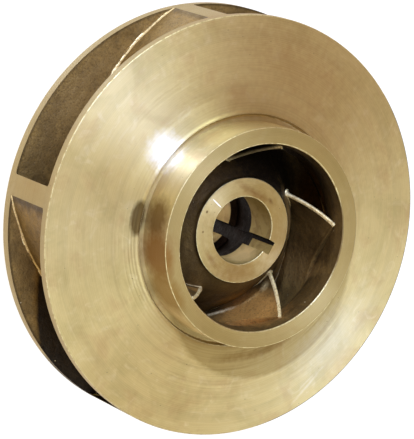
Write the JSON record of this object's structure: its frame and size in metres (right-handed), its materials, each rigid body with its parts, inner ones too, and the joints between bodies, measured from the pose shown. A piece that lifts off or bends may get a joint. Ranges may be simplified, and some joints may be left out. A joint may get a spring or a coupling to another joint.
{
  "type": "closed pump impeller",
  "caption": "Closed bronze pump impeller with backward-curved vanes between two shrouds, a raised eye collar and a keyed hub.",
  "frame": {"origin": "on the rotation axis, at the rear face of the hub boss, which is the part's lowest plane", "axes": "+Z along the rotation axis towards the suction eye; +Y is 9 degrees from the keyway"},
  "size_m": [0.2, 0.2, 0.0719],
  "materials": {
    "turned_bronze": "satin, lathe-turned",
    "cast_bronze": "as-cast, sandy"
  },
  "bodies": {
    "root": {"front_shroud": "turned_bronze", "eye_collar": "turned_bronze", "back_shroud": "turned_bronze", "hub": "turned_bronze", "vane_1": "cast_bronze", "vane_2": "cast_bronze", "vane_3": "cast_bronze", "vane_4": "cast_bronze", "vane_5": "cast_bronze"}
  },
  "joints": []
}
